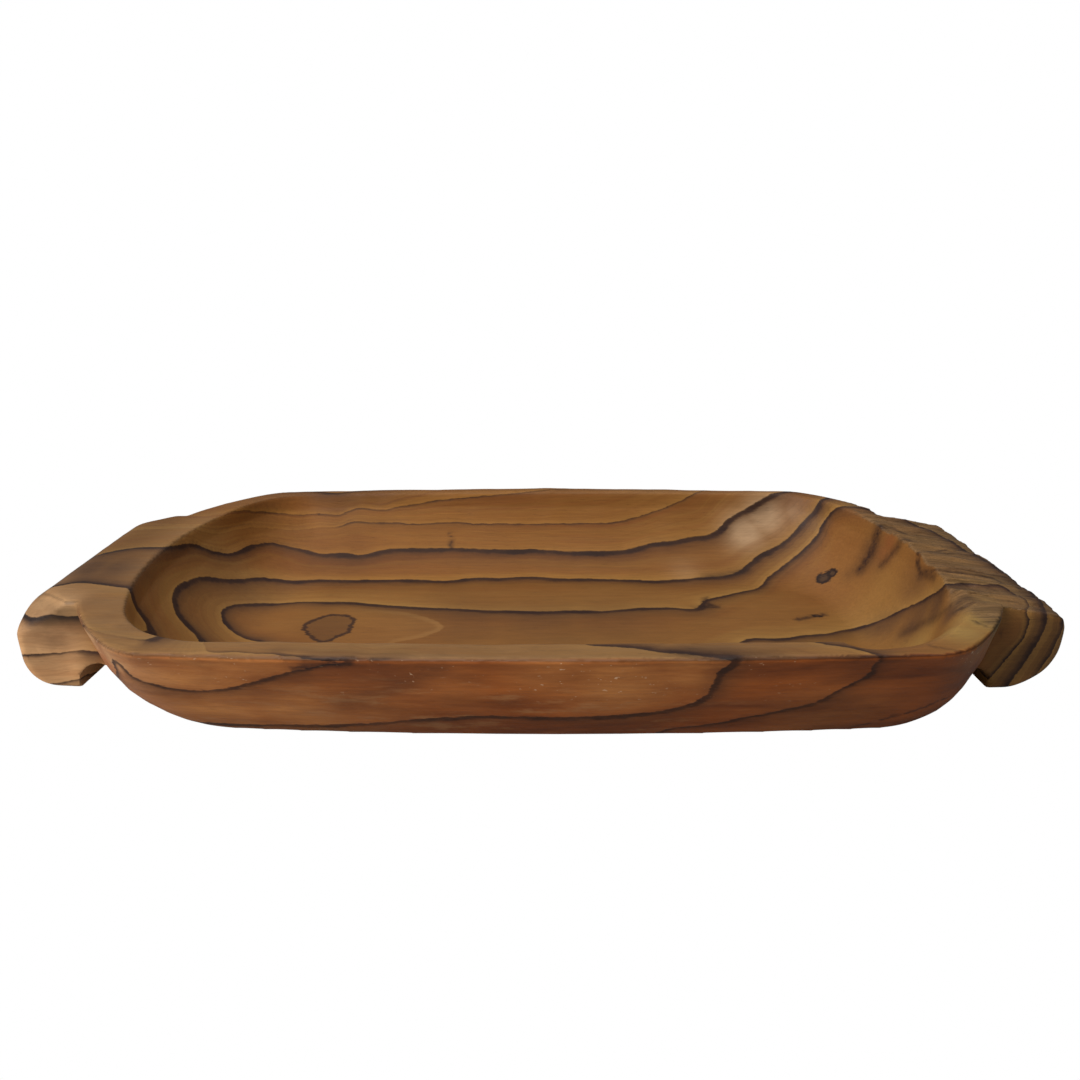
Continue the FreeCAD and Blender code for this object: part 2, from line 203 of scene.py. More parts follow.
places = read(tray.data.vertices, "co", 3) * 1000
everywhere = np.ones(len(places))
at_noses = np.clip((np.abs(places[:, 0]) - NOSES_FROM_MM) / NOSE_REACH_MM, 0, 1)
at_edge = np.clip(1.7 - stroke_distance(SOFT_EDGE_MM, places) / SOFT_EDGE_REACH_MM, 0, 1)
RUBBED = (("all_over", 1, everywhere), ("noses", 38, at_noses), ("soft_edge", 800, at_edge))
for name, rounds, shares in RUBBED:
    group = tray.vertex_groups.new(name=name)
    for index in np.flatnonzero(shares):
        group.add([int(index)], float(shares[index]), "REPLACE")
    soften = tray.modifiers.new(name, "SMOOTH")
    soften.factor, soften.iterations, soften.vertex_group = 0.5, math.ceil(rounds * RUBBING), name
baked(tray)
print("skin", len(tray.data.vertices), "points")

# %% [markdown]
# The marks of the hand follow rules, so a geometry tree makes them. The whole skin waves a little,
# as a surface does that was shaped by eye. The top of the rough handle is torn along the fibres.
# The foot stays flat.

# %% Marks of the hand
wood = bpy.data.materials.new("wood")

worked = bpy.data.node_groups.new("worked_surface", "GeometryNodeTree")
for name, kind in (("Geometry", "NodeSocketGeometry"), ("Wave mm", "NodeSocketFloat"),
                   ("Tear mm", "NodeSocketFloat"), ("Wood", "NodeSocketMaterial")):
    worked.interface.new_socket(name, in_out="INPUT", socket_type=kind)
worked.interface.new_socket("Geometry", in_out="OUTPUT", socket_type="NodeSocketGeometry")
given = worked.nodes.new("NodeGroupInput")
result = worked.nodes.new("NodeGroupOutput")
geometry, wave_mm, tear_mm, wood_in = (Wire(worked, given.outputs[name])
                                       for name in ("Geometry", "Wave mm", "Tear mm", "Wood"))
place = make(worked, "GeometryNodeInputPosition")
normal = make(worked, "GeometryNodeInputNormal")
x, y, z = (make(worked, "ShaderNodeSeparateXYZ", {}, {0: place}, out) for out in range(3))
facing_up = make(worked, "ShaderNodeSeparateXYZ", {}, {0: normal}, 2)

wave = noise(worked, place, 13) + noise(worked, place, 38) * 0.45
hewn = x.step(0.192, 0.2) * facing_up.step(0.35, 0.7)
hewn = hewn * z.step(0.042, 0.046) * y.absolute().step(0.1, 0.085)
fibres = noise(worked, stretched(worked, place, 22, 300, 90), 1, 3, 0.65)
chips = noise(worked, stretched(worked, place, 60, 190, 120), 1, 2).step(0.08, 0.3)
raised = wave * wave_mm * z.step(0.001, 0.008) + hewn * (fibres * 1.4 - chips * 0.8) * tear_mm
shift = {0: normal, "Scale": raised * 0.001}
offset = make(worked, "ShaderNodeVectorMath", {"operation": "SCALE"}, shift)
noted = make(worked, "GeometryNodeStoreNamedAttribute", {"data_type": "FLOAT", "domain": "POINT"},
             {"Geometry": geometry, "Name": "hewn", "Value": hewn})
moved = make(worked, "GeometryNodeSetPosition", {}, {"Geometry": noted, "Offset": offset})
whole = make(worked, "GeometryNodeRealizeInstances", {}, {"Geometry": moved})
painted = make(worked, "GeometryNodeSetMaterial", {}, {"Geometry": whole, "Material": wood_in})
worked.links.new(painted.socket, result.inputs[0])

marks = tray.modifiers.new("marks", "NODES")
marks.node_group = worked
inputs = {item.name: item.identifier for item in worked.interface.items_tree if item.in_out == "INPUT"}
marks[inputs["Wave mm"]] = 2.0
marks[inputs["Tear mm"]] = 1.6
marks[inputs["Wood"]] = wood
thin = tray.modifiers.new("thin", "DECIMATE")
# A face of the even skin makes two triangles, and two in a hundred are spare
thin.ratio = min(1, MOST_TRIANGLES / (2.04 * len(tray.data.polygons)))
thin.use_collapse_triangulate = True
crisp = tray.modifiers.new("crisp", "WEIGHTED_NORMAL")
crisp.weight = 60
baked(tray)
print("worked skin", len(tray.data.polygons), "faces")

# %% [markdown]
# Growth lines are the dark ends of each year's wood. Each one is traced in picture units, with
# its place in the order of growth and how bold it is.

# %% Traced growth lines
LINES = (
    # order, boldness in mm, points
    # the far wall
    (-1.0, 0.35, ((240, 511), (270, 513), (300, 515), (340, 515), (383, 510), (410, 505), (433, 501),
                  (450, 499), (475, 497), (520, 493))),
    (0.0, 0.05, ((200, 531), (240, 529), (290, 530), (322, 527))),
    (-1.0, 0.02, ((208, 516), (222, 513))),
    (0.0, 0.4, ((350, 522), (383, 523), (447, 522), (533, 524), (607, 523), (640, 517), (667, 507),
                (690, 496))),
    # the hollow, from its outermost line to its innermost
    (1.0, 1.5, ((100, 551), (134, 548), (167, 547), (197, 545), (207, 549), (217, 552), (240, 551),
                (250, 546), (270, 543))),
    (1.0, 2.3, ((300, 549), (320, 554), (360, 556), (400, 549), (450, 548), (533, 550), (580, 552),
                (623, 551), (650, 544))),
    (1.0, 2.6, ((690, 538), (717, 531), (727, 521), (735, 515), (752, 506), (770, 495))),
    (1.0, 1.1, ((57, 587), (73, 583), (100, 584), (127, 588))),
    (1.0, 3.4, ((133, 602), (140, 614), (148, 630), (156, 637))),
    (2.0, 2.5, ((200, 640), (187, 627), (175, 610), (173, 597), (182, 584))),
    (2.0, 1.9, ((200, 578), (230, 580), (290, 581), (320, 580), (385, 580), (450, 581), (467, 579),
                (533, 577), (607, 579), (653, 581), (677, 580), (713, 577))),
    (2.0, 2.0, ((730, 575), (742, 570), (753, 560), (770, 550), (787, 540), (803, 522), (817, 507),
                (823, 499))),
    (3.0, 1.4, ((257, 641), (233, 632), (222, 618), (223, 610), (233, 605))),
    (3.0, 2.3, ((257, 604), (300, 602), (350, 602), (383, 605), (433, 608), (500, 611), (540, 612),
                (607, 611), (673, 608), (697, 609))),
    (3.0, 1.3, ((706, 600), (740, 592), (760, 587), (767, 578), (787, 563), (803, 550), (820, 530),
                (827, 517), (837, 508))),
    (4.0, 1.8, ((750, 639), (773, 639), (807, 635), (831, 633), (855, 628))),
    (4.0, 1.0, ((883, 619), (905, 608), (917, 603), (940, 590), (954, 584), (967, 583), (983, 585),
                (1009, 590))),
    # the near rim and the front of the bowl
    (2.0, 1.4, ((97, 652), (113, 659), (133, 677), (150, 683), (177, 689), (207, 690), (233, 687),
                (260, 680), (290, 671))),
    (2.0, 0.6, ((320, 666), (350, 664), (385, 661))),
    (2.0, 0.05, ((202, 644), (205, 648))),
    (2.0, 0.35, ((214, 652), (250, 654), (292, 656))),
    (3.0, 1.1, ((588, 645), (620, 647), (650, 650), (680, 653), (705, 656), (724, 658))),
    (4.0, 0.9, ((826, 645), (850, 648), (866, 652), (878, 657))),
    (3.0, 2.2, ((734, 660), (731, 664), (722, 670), (714, 683), (700, 700), (683, 707), (657, 712),
                (607, 716), (540, 717), (467, 717), (400, 721), (333, 725), (200, 722))),
    (4.0, 1.3, ((879, 661), (866, 676), (846, 686), (823, 699), (797, 707), (740, 718), (673, 728))),
    # the smooth handle and the corner beside it
    (1.0, 1.2, ((25, 613), (50, 614), (67, 617), (82, 624))),
    (1.0, 0.1, ((86, 627), (91, 629), (98, 632), (120, 637), (140, 640))),
    (2.0, 0.6, ((18, 656), (50, 653), (67, 651), (97, 652))),
    (3.0, 0.6, ((57, 683), (80, 679))),
    # the rough handle
    (4.0, 0.5, ((1026, 600), (1030, 605), (1029, 622), (1022, 640), (1008, 656), (994, 674))),
    (3.0, 1.2, ((1040, 601), (1044, 606), (1045, 615), (1040, 635), (1031, 651), (1020, 670),
                (1011, 680))),
    (2.0, 0.7, ((1063, 622), (1057, 637), (1049, 656), (1038, 672))),
)

# Places between the lines, to keep the field from folding there
BETWEEN = (
    (0.78, (35, 603)), (2.6, (450, 652)), (2.45, (320, 650)), (2.35, (270, 647)), (2.5, (380, 652)),
    (1.85, (200, 660)), (1.75, (245, 665)), (1.8, (270, 664)), (1.85, (295, 661)), (2.5, (430, 666)),
    (2.7, (550, 652)), (2.85, (640, 654)), (2.85, (680, 657)), (3.25, (665, 647)), (3.25, (705, 649)),
    (3.3, (735, 652)), (3.35, (757, 655)), (3.75, (826, 652)), (3.75, (848, 655)), (4.25, (868, 648)),
    (4.3, (900, 649)), (4.1, (832, 640)), (4.15, (841, 641)), (4.2, (856, 643)), (3.4, (380, 636)),
    (3.4, (440, 637)), (3.4, (480, 631)), (3.4, (500, 638)), (3.4, (525, 633)), (1.25, (100, 567)),
    (1.3, (130, 568)), (0.75, (90, 598)), (0.7, (115, 600)), (-0.5, (400, 514)), (-1.5, (300, 502)),
    (0.4, (700, 515)), (1.35, (60, 640)), (2.5, (60, 668)), (1.4, (200, 668)), (2.4, (300, 700)),
    (2.6, (600, 690)), (3.6, (780, 690)), (4.35, (900, 680)), (3.45, (420, 628)), (3.45, (600, 628)),
    (3.5, (650, 628)), (3.4, (560, 636)), (3.5, (700, 630)), (3.4, (620, 636)), (3.4, (660, 636)),
    (3.6, (790, 620)), (3.6, (830, 610)), (3.5, (785, 652)), (3.5, (850, 590)), (3.6, (890, 545)),
    (4.6, (960, 625)), (4.4, (900, 640)), (3.5, (1037, 625)), (2.5, (1054, 635)), (4.4, (1010, 620)),
    (1.5, (300, 567)), (1.5, (600, 565)), (2.5, (500, 594)), (0.5, (500, 537)),
)

# %% [markdown]
# A point of the picture is carried along its line of sight until it meets the wood. That puts a
# line that was traced on a flat photo in its place on the curved bowl.

# %% Cast onto the wood
corners = [v.co.copy() for v in tray.data.vertices]
skin_tree = BVHTree.FromPolygons(corners, [tuple(p.vertices) for p in tray.data.polygons])


def cast(points):
    """The places on the wood, in mm, that the camera sees at points of the picture."""
    hits = (skin_tree.ray_cast(CAMERA_AT, sight(u, v))[0] for u, v in points)
    return [tuple(hit * 1000) for hit in hits if hit is not None]


PLAIN_BOLDNESS = 0.8
anchors = [(*at, order, bold) for order, bold, points in LINES for at in cast(points)]
anchors += [(*at, order, PLAIN_BOLDNESS) for order, point in BETWEEN for at in cast([point])]
anchors = np.array(anchors)
print("traced points on the wood", len(anchors))

# %% [markdown]
# In a real block the lines on the skin are cuts through bent layers. So the figure is one smooth
# solid field, laid through the traced points: every place in the block has its order of growth,
# and whole numbers are dark lines. The figure then goes on over the sides that the camera doesn't
# see. Each point of the skin also keeps how far apart the lines lie there, measured along the
# skin, and how bold the line is that it belongs to.

# %% Solid growth field
SPREAD_MM = 7
SMOOTH = 0.3
MEAN_OVER_MM = 3
AT_ONCE = 4000
LEAST_SLOPE = 0.004
LINE_MARGIN = 0.15


def solid_field(places, values):
    """A smooth function of a place that takes the given values at the given places."""
    count = len(places)
    gap = np.sqrt(((places[:, None] - places[None]) ** 2).sum(2) + SPREAD_MM ** 2)
    plain = np.hstack([np.ones((count, 1)), places])
    system = np.zeros((count + 4, count + 4))
    system[:count, :count] = gap - np.eye(count) * SMOOTH
    system[:count, count:] = plain
    system[count:, :count] = plain.T
    weights = np.linalg.solve(system, np.concatenate([values, np.zeros(4)]))
    pull, level, slope = weights[:count], weights[count], weights[count + 1:]

    def value_and_slope(at):
        away = at[:, None] - places[None]
        far = np.sqrt((away ** 2).sum(2) + SPREAD_MM ** 2)
        return far @ pull + level + at @ slope, ((pull / far)[:, :, None] * away).sum(1) + slope

    return value_and_slope


def near_mean(places, values, at):
    """The values of the nearest places, blended by distance."""
    share = 1 / (((at[:, None] - places[None]) ** 2).sum(2) + MEAN_OVER_MM ** 2) ** 2
    return share @ values / share.sum(1)


def store(name, values):
    kept = tray.data.attributes.new(name, "FLOAT", "POINT")
    kept.data.foreach_set("value", values.astype(np.float32))


places = read(tray.data.vertices, "co", 3) * 1000
normals = read(tray.data.vertices, "normal", 3)
field = solid_field(anchors[:, :3], anchors[:, 3])
growth, spacing, boldness = [], [], []
for start in range(0, len(places), AT_ONCE):
    part, out = places[start:start + AT_ONCE], normals[start:start + AT_ONCE]
    value, slope = field(part)
    slope -= out * (slope * out).sum(1)[:, None]
    growth.append(value)
    spacing.append(1 / np.maximum(np.linalg.norm(slope, axis=1), LEAST_SLOPE))
    bold = np.full(len(part), PLAIN_BOLDNESS)
    line = np.floor(value + LINE_MARGIN)
    for order in np.intersect1d(line, anchors[:, 3]):
        mine, own = line == order, anchors[:, 3] == order
        bold[mine] = near_mean(anchors[own, :3], anchors[own, 4], part[mine])
    boldness.append(bold)
growth, spacing, boldness = (np.concatenate(parts) for parts in (growth, spacing, boldness))
store("growth", growth)
store("spacing", spacing)
store("bold", boldness)
print("growth runs from", growth.min().round(2), "to", growth.max().round(2))

# %% [markdown]
# The outside of the bowl was handled and stained, so it gets its own tint. It is the skin that
# faces away from a ridge inside the tray. Heights count little in that, which keeps the top of the
# rim out. Where the mask is halfway, the skin turns over an edge.

# %% Outside and edges
HALF_RIDGE_MM, RIDGE_HEIGHT_MM = 150, 30
HANDLES_FROM_MM, HANDLE_REACH_MM = 206, 10

along = np.clip(places[:, 0], -HALF_RIDGE_MM, HALF_RIDGE_MM)
ridge = [along, np.zeros(len(places)), np.full(len(places), RIDGE_HEIGHT_MM)]
outward = places - np.stack(ridge, axis=1)
outward[:, 2] *= 0.2
outward /= np.linalg.norm(outward, axis=1)[:, None]
at_ends = np.clip((np.abs(places[:, 0]) - HANDLES_FROM_MM) / HANDLE_REACH_MM, 0, 1)
outside = np.clip(4 * (outward * normals).sum(1) - 1.6, 0, 1)
# the edge band is used later for painted shade on the turned edges
store("edge", 4 * outside * (1 - outside))
store("outside", outside * (1 - at_ends))
print("outside", round(float(outside.mean()), 2), "of the points")

# %% [markdown]
# Knots, torn pits and short dark streaks sit on top of the growth lines, and soft patches of
# another tint lie between them. All are placed in picture units and cast onto the wood in the
# same way. The island and the tongue are outlines, kept as the distance to their shore, which
# is negative inside.

# %% Knots, streaks and patches
STROKES = (
    # width in mm, depth of tone, points
    (4.2, 0.8, ((880, 527), (876, 537), (873, 548), (868, 558), (860, 570))),
    (5.0, 0.3, ((868, 545), (862, 560), (850, 575))),
    (3.0, 0.6, ((907, 540), (899, 545), (890, 556), (882, 565))),
    (1.6, 0.7, ((292, 669), (315, 665), (345, 664))),
    (5.0, 0.25, ((340, 702), (390, 690), (440, 668))),
    (2.4, 0.7, ((670, 652), (700, 655), (733, 658))),
    (5.0, 0.3, ((690, 650), (735, 652), (775, 655))),
    (2.2, 0.9, ((697, 607), (717, 607))),
    (1.8, 0.8, ((717, 607), (704, 602), (708, 598))),
    (3.0, 0.6, ((705, 577), (728, 575), (745, 571))),
    (1.0, 0.6, ((917, 554), (940, 551), (963, 550))),
    (1.0, 0.7, ((919, 556), (919, 565), (921, 571), (927, 572), (936, 570), (958, 573), (992, 578),
                (1020, 589))),
    (1.6, 0.5, ((880, 527), (893, 528), (905, 534))),
    (1.6, 0.8, ((918, 554), (917, 563), (920, 573))),
    (3.2, 0.6, ((920, 575), (928, 574), (934, 577))),
    (3.5, 0.5, ((967, 598), (955, 606), (940, 615), (925, 622), (903, 633))),
    (1.6, 0.5, ((955, 612), (966, 606), (974, 602))),
    (1.0, 0.7, ((850, 728), (880, 720), (907, 713), (940, 700), (962, 688))),
    (6.0, 0.3, ((722, 668), (718, 680), (712, 690))),
    (0.8, 0.6, ((972, 620), (985, 626), (1001, 632))),
    (0.8, 0.4, ((905, 640), (930, 646), (960, 652))),
    (1.3, 0.8, ((450, 533), (451, 548))),
    (1.0, 0.5, ((920, 555), (953, 553), (975, 556))),
    (1.0, 0.5, ((934, 576), (950, 569), (970, 571), (1005, 577))),
    (1.8, 0.8, ((797, 620), (806, 618), (812, 616), (825, 614))),
    (2.4, 0.45, ((305, 664), (325, 664), (340, 664))),
)
KNOTS = (
    # half width in mm along and across, middle
    (5.4, 4.6, (824, 578)),
    (3.6, 4.0, (832, 573)),
    (4.0, 2.0, (817, 616)),
)
# The island of the last growth line, left of the middle of the floor
ISLAND = ((306, 624), (319, 618), (331, 615), (347, 615), (355, 620), (351, 626), (349, 632),
          (336, 637), (331, 640), (322, 642), (315, 640), (312, 638), (308, 634), (304, 629))
# The pale tongue that lies inside the innermost line
TONGUE = ((372, 609), (405, 612), (426, 617), (438, 622), (445, 627), (438, 632), (420, 638),
          (396, 642), (340, 644), (290, 643), (255, 636), (240, 625), (252, 613), (290, 608),
          (330, 607))
PATCHES = {
    # name: (reach in mm, strength, middle) of each soft patch of that tint
    "pale": ((13, 1.6, (744, 530)), (13, 1.6, (763, 515)), (8, 0.5, (790, 512)),
             (10, 0.3, (685, 572))),
    "yellow": ((13, 0.9, (985, 622)), (12, 0.8, (962, 632)), (9, 0.6, (992, 603)),
               (10, 0.9, (996, 624)), (12, 0.5, (920, 643))),
    "red": ((6, 0.7, (890, 541)), (7, 0.5, (886, 552))),
    "purple": ((12, 0.5, (875, 556)), (14, 0.5, (915, 586)), (30, 0.45, (470, 619)),
               (30, 0.5, (540, 621)), (30, 0.45, (610, 620)), (30, 0.3, (560, 636)),
               (9, 1.0, (935, 607)), (12, 0.9, (916, 622)), (12, 0.7, (885, 625)),
               (7, 1.0, (951, 614)), (30, 0.4, (245, 597)), (34, 0.2, (390, 672)),
               (11, 0.6, (100, 620)), (11, 0.6, (122, 630)), (16, 0.95, (125, 567)),
               (16, 0.9, (88, 568)), (12, 0.4, (152, 558)), (38, 0.5, (295, 524)),
               (14, 0.4, (105, 602))),
    "tan": ((38, 1.0, (190, 675)), (25, 0.7, (250, 668)), (24, 0.6, (560, 668)), (26, 1.0, (625, 680)),
            (18, 1.0, (690, 668)), (22, 0.3, (450, 690)), (28, 1.0, (300, 712)), (24, 0.5, (370, 712)),
            (24, 0.5, (815, 716)), (16, 0.4, (855, 710)), (14, 1.2, (114, 655)), (10, 1.2, (92, 632)),
            (28, 1.0, (220, 712)), (35, 1.3, (40, 650)), (14, 0.9, (64, 606))),
}

streak = np.zeros(len(places))
for width, depth, points in STROKES:
    softness = 2 if width > 2 else 4
    near = np.exp(-(stroke_distance(cast(points), places) / width) ** softness)
    streak = np.maximum(streak, depth * near)
store("streak", streak)
FAR = 9.0
knot = np.full(len(places), FAR)
for along, across, point in KNOTS:
    away = places - np.array(cast([point])[0])
    share = (away[:, 0] / along) ** 2 + (away[:, 1:] ** 2).sum(1) / across ** 2
    knot = np.minimum(knot, np.sqrt(share))
store("knot", knot)

for name, outline in (("island", ISLAND), ("tongue", TONGUE)):
    shore = cast(outline + outline[:1])
    inside = np.zeros(len(places), bool)
    for (x1, y1, _), (x2, y2, _) in zip(shore, shore[1:]):
        crossing = (places[:, 1] < y1) != (places[:, 1] < y2)
        if y1 != y2:
            inside ^= crossing & (places[:, 0] < x1 + (places[:, 1] - y1) * (x2 - x1) / (y2 - y1))
    store(name, np.where(inside, -1, 1) * stroke_distance(shore, places))

for name, patches in PATCHES.items():
    tint = np.zeros(len(places))
    for reach, strength, point in patches:
        away = places - np.array(cast([point])[0])
        tint = np.maximum(tint, strength * np.exp(-(away ** 2).sum(1) / reach ** 2))
    store(name, tint)
print("streaks", len(STROKES), "knots", len(KNOTS), "soft patches", sum(map(len, PATCHES.values())))

# %% [markdown]
# The wood is one material, worked out from the stored fields and from noise along the fibres.
# There is no picture in it, so it stays sharp close by and goes round every edge. Three helpers
# read a stored field, turn a colour of a picture into light, and blend two colours.

# %% Helpers of the material
wood.use_nodes = True
tree = wood.node_tree
shader = tree.nodes["Principled BSDF"]


def attribute(name):
    return make(tree, "ShaderNodeAttribute", {"attribute_name": name}, {}, 2)


def colour(red, green, blue):
    """A colour as a picture shows it, 0 to 255, turned to the light it stands for."""
    return (*(((v / 255 + 0.055) / 1.055) ** 2.4 for v in (red, green, blue)), 1)


def mixed(share, one, two, blend="MIX"):
    settings = {"data_type": "RGBA", "blend_type": blend, "clamp_factor": True}
    return make(tree, "ShaderNodeMix", settings, {0: share, 6: one, 7: two}, 2)


at = make(tree, "ShaderNodeTexCoord", {}, {}, 3)
x, y, z = (make(tree, "ShaderNodeSeparateXYZ", {}, {0: at}, out) for out in range(3))
outside = attribute("outside")
at_left_end = x.step(-0.2, -0.228)

# %% [markdown]
# A growth line has a dark core. It starts sharply on the outer side and fades out on the inner
# side, and the wood just before it glows paler. Noise shakes the line, most on the outside of the
# bowl, and makes it thicker and thinner along its way.

# %% Growth lines in the material
spacing_mm = attribute("spacing")
bold_mm = attribute("bold")
teeth = noise(tree, stretched(tree, at, 170, 480, 480), 1, 3, 0.6)
patchy = noise(tree, stretched(tree, at, 34, 80, 80), 1, 4, 0.65)
shake = noise(tree, stretched(tree, at, 40, 90, 90), 1, 2) * 2 + teeth * (outside * 2 + 1.8)
order = attribute("growth") + shake / spacing_mm
after_mm = order.fract() * spacing_mm
before_mm = spacing_mm - after_mm

thick = (bold_mm * (1 + patchy * 2.6)).most(0.05)
core = (after_mm - thick).step(1.7, -0.6).most((before_mm - thick * 0.2).step(0.4, -0.2))
core = core * (bold_mm * 2.2).least(1)
fade = ((after_mm / (bold_mm * -0.8 - 4.8)).exp() * (patchy + 1.5)).least(1)
fade = fade * (bold_mm * 1.4 - 0.4).most(0).least(1)
glow = (before_mm * -0.16).exp()
ring_place = make(tree, "ShaderNodeCombineXYZ", {}, {0: order * 6, 1: x * 4, 2: y * 4})
rings = noise(tree, ring_place, 1, 3, 0.6)

# %% [markdown]
# The wood changes its tint from one year's growth to the next, is redder on the outside of the
# bowl and paler at the smooth handle. Over that come the patches, the top of the rim, the grazes
# low on the front and the pale tongue on the floor. The tongue fades toward the front, where the
# near wall hid the floor from the camera and the photo says nothing.

# %% Tints of the wood
clouds = noise(tree, stretched(tree, at, 9, 20, 20), 1, 3)
stains = noise(tree, stretched(tree, at, 14, 40, 75), 1, 4, 0.6)
fibres = noise(tree, stretched(tree, at, 12, 260, 260), 1, 3, 0.6)
scuffs = noise(tree, stretched(tree, at, 36, 90, 150), 1, 4, 0.7)

growth_tint = rings * (20 / spacing_mm).least(1.6) + clouds * 0.6 + 0.5
tints = make(tree, "ShaderNodeValToRGB", {}, {0: growth_tint})
stops = tints.socket.node.color_ramp.elements
stops[0].position, stops[0].color = 0.1, colour(88, 57, 33)
stops[1].position, stops[1].color = 0.9, colour(117, 69, 31)
stops.new(0.4).color = colour(118, 75, 35)
stops.new(0.65).color = colour(126, 87, 42)
inside_colour = mixed(glow * 0.55, tints, colour(156, 118, 62))
outside_colour = mixed(stains * 2.6 + 0.45, colour(162, 86, 32), colour(100, 48, 16))
tan_colour = mixed(stains * 2.4 + scuffs + 0.4, colour(188, 124, 66), colour(144, 80, 34))
left_colour = mixed(stains * 2.4 + 0.4, colour(196, 152, 106), colour(158, 108, 66))
tan_colour = mixed(x.step(-0.15, -0.19), tan_colour, left_colour)
base = mixed(outside, inside_colour, outside_colour)
base = mixed(attribute("tan") * outside.most(at_left_end), base, tan_colour)

PATCH_TINTS = (
    # stored field, how ragged it is, colour
    ("pale", rings + 0.8, (172, 142, 110)),
    ("yellow", clouds + 0.9, (146, 116, 62)),
    ("purple", patchy + 0.8, (72, 48, 33)),
    ("red", fibres + 0.8, (120, 66, 36)),
    ("hewn", stains + 0.75, (104, 79, 50)),
)
for name, ragged, tint in PATCH_TINTS:
    base = mixed(attribute(name) * ragged, base, colour(*tint))

crown = z.step(0.0556, 0.0564) * (1 - attribute("hewn")) * (1 - at_left_end) * x.step(0.16, 0.09)
base = mixed(crown * (fibres * 1.2 + 0.5), base, colour(119, 89, 57))
grazed = scuffs.step(0.0, 0.24) * outside * z.step(0.052, 0.034) * x.step(0.13, 0.02)
base = mixed(grazed * 0.7, base, colour(172, 120, 74))
tongue = attribute("tongue") + teeth * 3
within = tongue.step(0.6, -0.6) * x.step(-0.14, -0.06) * (1 - outside)
within = within * z.step(0.03, 0.02) * y.step(-0.045, -0.014)
tip = (tongue + 1.5).absolute().step(4, 0.5) * within
base = mixed(within * 0.1 + tip * 0.17, base, colour(166, 124, 72))

# %% [markdown]
# The dark things are laid over the tints: the lines with their fading side, the streaks, the
# knots with their lighter hearts, and the island with its shore. They are drawn from distances
# in mm, so a line keeps its width where the layers bend.

# %% Dark lines, knots and the island
shade = colour(70, 46, 30)
line_dark = colour(45, 29, 24)
base = mixed(fade * (0.85 - outside * 0.3), base, mixed(outside, shade, colour(64, 35, 17)))
core_colour = mixed(outside, line_dark, colour(54, 29, 15))
base = mixed(core * (patchy * 1.2 + 0.85 - outside * 0.1), base, core_colour)
base = mixed(attribute("streak") * (teeth * 1.5 + 1), base, colour(40, 25, 21))
knot = attribute("knot") + patchy * 0.8 + teeth * 1.2
base = mixed(knot.step(1.15, 0.8), base, colour(38, 24, 18))
base = mixed(knot.step(0.7, 0.3), base, colour(66, 46, 31))
island = attribute("island") + teeth * 5
base = mixed(island.step(0.5, -0.5) * 0.45, base, shade)
base = mixed(island.absolute().step(1.9, 0.5) * 0.85, base, line_dark)

# %% [markdown]
# Fine grain: fibres and pores along the tray, thin years between the lines, and torn fibres on the
# hewn top. The same factor paints light onto the left part of the hollow, which the lamp leaves in
# shade. White specks are chips in the outside, high on the wall.

# %% Grain, painted light and specks
fibre = noise(tree, stretched(tree, at, 45, 700, 700), 1, 3, 0.65)
pores = noise(tree, stretched(tree, at, 160, 1500, 1500), 1, 1).step(0.13, 0.3)
torn = noise(tree, stretched(tree, at, 30, 420, 200), 1, 4, 0.7) * attribute("hewn")
year_place = make(tree, "ShaderNodeCombineXYZ", {}, {0: order * 26, 1: x * 9, 2: y * 9})
years = noise(tree, year_place, 1, 2)
# painted light: the left part of the hollow is made paler
painted_light_left_wall = x.step(-0.12, -0.16) * z.step(0.0562, 0.055) * (1 - outside) * (1 - at_left_end)
grain_and_painted_light = fibre * 0.5 - pores * 0.2 + years * 0.45 * (14 / spacing_mm).least(1) + torn * 2.2 + 1
grain_and_painted_light = grain_and_painted_light + painted_light_left_wall * 0.38 + at_left_end * z.step(0.048, 0.042) * 0.12
grey = make(tree, "ShaderNodeCombineColor", {}, {0: grain_and_painted_light, 1: grain_and_painted_light, 2: grain_and_painted_light})
base = mixed(1, base, grey, "MULTIPLY")
specks = noise(tree, stretched(tree, at, 420, 420, 600), 1, 2).step(0.17, 0.23) * outside
specks = specks * z.step(0.022, 0.045) * noise(tree, at, 22).step(-0.05, 0.08)
base = mixed(specks * 0.75, base, colour(214, 178, 142))

# %% [markdown]
# The wood of the far wall is browner. Shade is painted into the colour where the lamps light the
# wood too brightly: the turned edges, the front just under the rim, the outer edge of the rim, the
# end of the rough handle, the front beside it, and the upper part and the bevels of the smooth
# handle.

# %% Painted shade, roughness and bumps
far_wall = y.step(0.045, 0.075) * x.step(0.26, -0.05) * (1 - outside)
base = mixed(far_wall, base, (0.89, 0.75, 0.53, 1), "MULTIPLY")
under_rim = outside * z.step(0.051, 0.0545)
rim_edge = outside * z.step(0.0552, 0.056)
bevels = z.step(0.056, 0.053) * y.step(-0.02, -0.045)
upper_left = at_left_end * z.step(0.042, 0.048)
# painted shade on the turned edges, the rim, the rough handle's end and front, and the smooth handle's
# top
painted_shade = attribute("edge") * 0.25 + under_rim * 0.12 + rim_edge * (x.step(-0.05, 0.12) * 0.14 + 0.32)
painted_shade = painted_shade + x.step(0.236, 0.246) * 0.25 + outside * x.step(0.1, 0.14) * 0.2
painted_shade = painted_shade + upper_left * (bevels * 0.14 + 0.38)
base = mixed(painted_shade, base, colour(0, 0, 0))
tree.links.new(base.socket, shader.inputs["Base Color"])

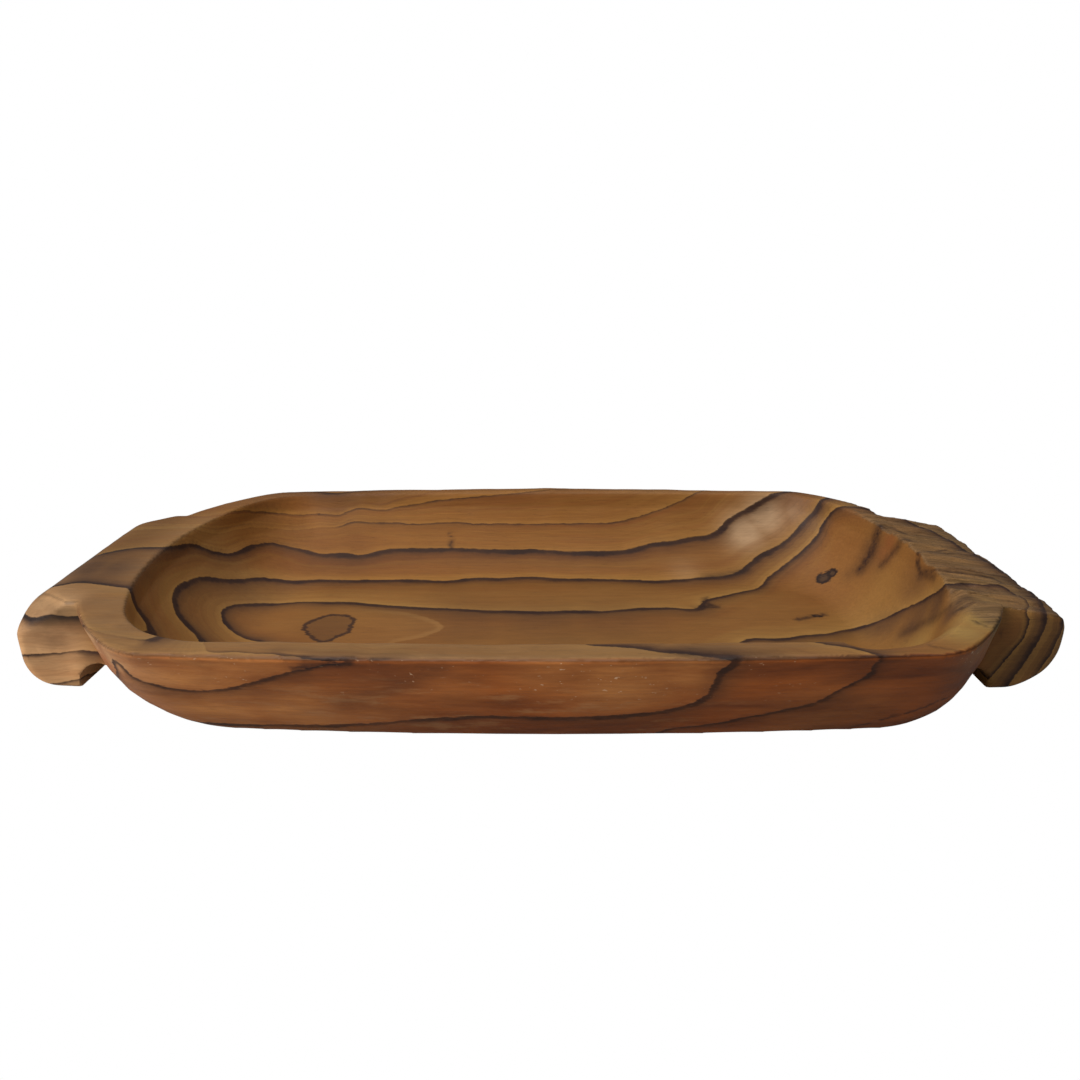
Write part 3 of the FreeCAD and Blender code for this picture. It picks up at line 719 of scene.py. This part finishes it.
rough = fibre * 0.15 + patchy * 0.1 + 0.52
tree.links.new(rough.socket, shader.inputs["Roughness"])
shader.inputs["Specular IOR Level"].default_value = 0.16
height = fibre * 0.6 - pores * 0.5 - core * 0.4 + torn * 3
bump = make(tree, "ShaderNodeBump", {}, {"Strength": 0.25, "Distance": 0.0006, "Height": height})
tree.links.new(bump.socket, shader.inputs["Normal"])
tray.data.materials.clear()
tray.data.materials.append(wood)
tray.data.polygons.foreach_set("use_smooth", [True] * len(tray.data.polygons))
print("wood material", len(tree.nodes), "nodes")

# %% [markdown]
# A plain white floor and soft light. The camera sees the floor and the world as pure white. The
# wood gets the light of a wide lamp from the left and in front, and a weak light from all round.

# %% Floor and light
white = bpy.data.materials.new("white_floor")
white.use_nodes = True
floor_tree = white.node_tree
seen = make(floor_tree, "ShaderNodeLightPath")
plain = make(floor_tree, "ShaderNodeBsdfDiffuse", {}, {"Color": (0.35, 0.35, 0.35, 1)})
lit = make(floor_tree, "ShaderNodeEmission", {}, {"Color": (1, 1, 1, 1), "Strength": 1})
both = make(floor_tree, "ShaderNodeMixShader", {}, {0: seen, 1: plain, 2: lit})
floor_tree.links.new(both.socket, floor_tree.nodes["Material Output"].inputs["Surface"])
floor_mesh = bpy.data.meshes.new("floor")
floor_mesh.from_pydata([(-6, -6, 0), (6, -6, 0), (6, 6, 0), (-6, 6, 0)], [], [(0, 1, 2, 3)])
floor_mesh.materials.append(white)
floor = new_object("floor", floor_mesh)
floor.location.z = -0.0003

world = bpy.data.worlds.new("studio")
scene.world = world
world.use_nodes = True
sky = world.node_tree
seen = make(sky, "ShaderNodeLightPath")
strength = seen * 0.75 + 0.25
background = sky.nodes["Background"]
background.inputs["Color"].default_value = (1, 1, 1, 1)
sky.links.new(strength.socket, background.inputs["Strength"])


def lamp(name, at, aim, size, watts):
    data = bpy.data.lights.new(name, "AREA")
    data.shape, data.size, data.energy = "SQUARE", size, watts
    made = bpy.data.objects.new(name, data)
    made.location = at
    made.rotation_euler = (Vector(aim) - Vector(at)).to_track_quat("-Z", "Y").to_euler()
    scene.collection.objects.link(made)


lamp("key", (-1.2, -0.95, 0.95), (0, 0, 0), 0.9, 34)
lamp("top", (-0.2, 0.1, 1.3), (0, 0, 0), 1.2, 9)
scene.view_settings.view_transform = "Standard"
print("lamps", [data.name for data in bpy.data.lights])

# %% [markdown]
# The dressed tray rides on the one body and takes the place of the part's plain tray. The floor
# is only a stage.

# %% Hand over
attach(tray, "root")
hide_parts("tray")
